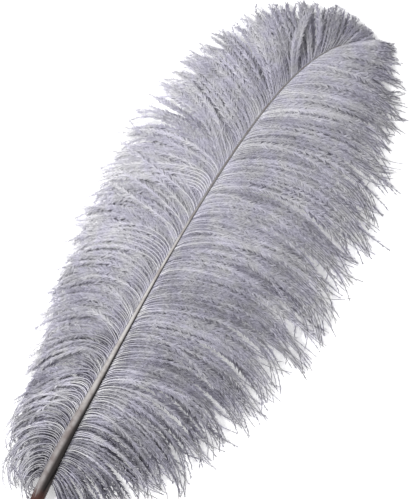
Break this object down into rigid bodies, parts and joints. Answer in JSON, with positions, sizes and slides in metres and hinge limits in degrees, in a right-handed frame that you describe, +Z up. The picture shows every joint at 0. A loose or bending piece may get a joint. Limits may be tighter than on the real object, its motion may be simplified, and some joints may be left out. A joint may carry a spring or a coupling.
{
  "type": "ostrich feather",
  "caption": "Lavender-grey ostrich plume: a tapering shaft with a soft vane of drooping barbs on each side, lying flat with its arched side up.",
  "frame": {"origin": "on the surface that the feather lies on, below the middle of its bounds", "axes": "+Z up from that surface, +Y from the quill towards the tip, +X towards the broader vane"},
  "size_m": [0.2306, 0.495, 0.0305],
  "materials": {
    "barbs": "soft, dull fibres dyed lavender grey",
    "shaft": "smooth horn with a low gloss, pale taupe above and dark brown on its shaded flank"
  },
  "bodies": {
    "root": {"feather": "barbs"}
  },
  "joints": []
}
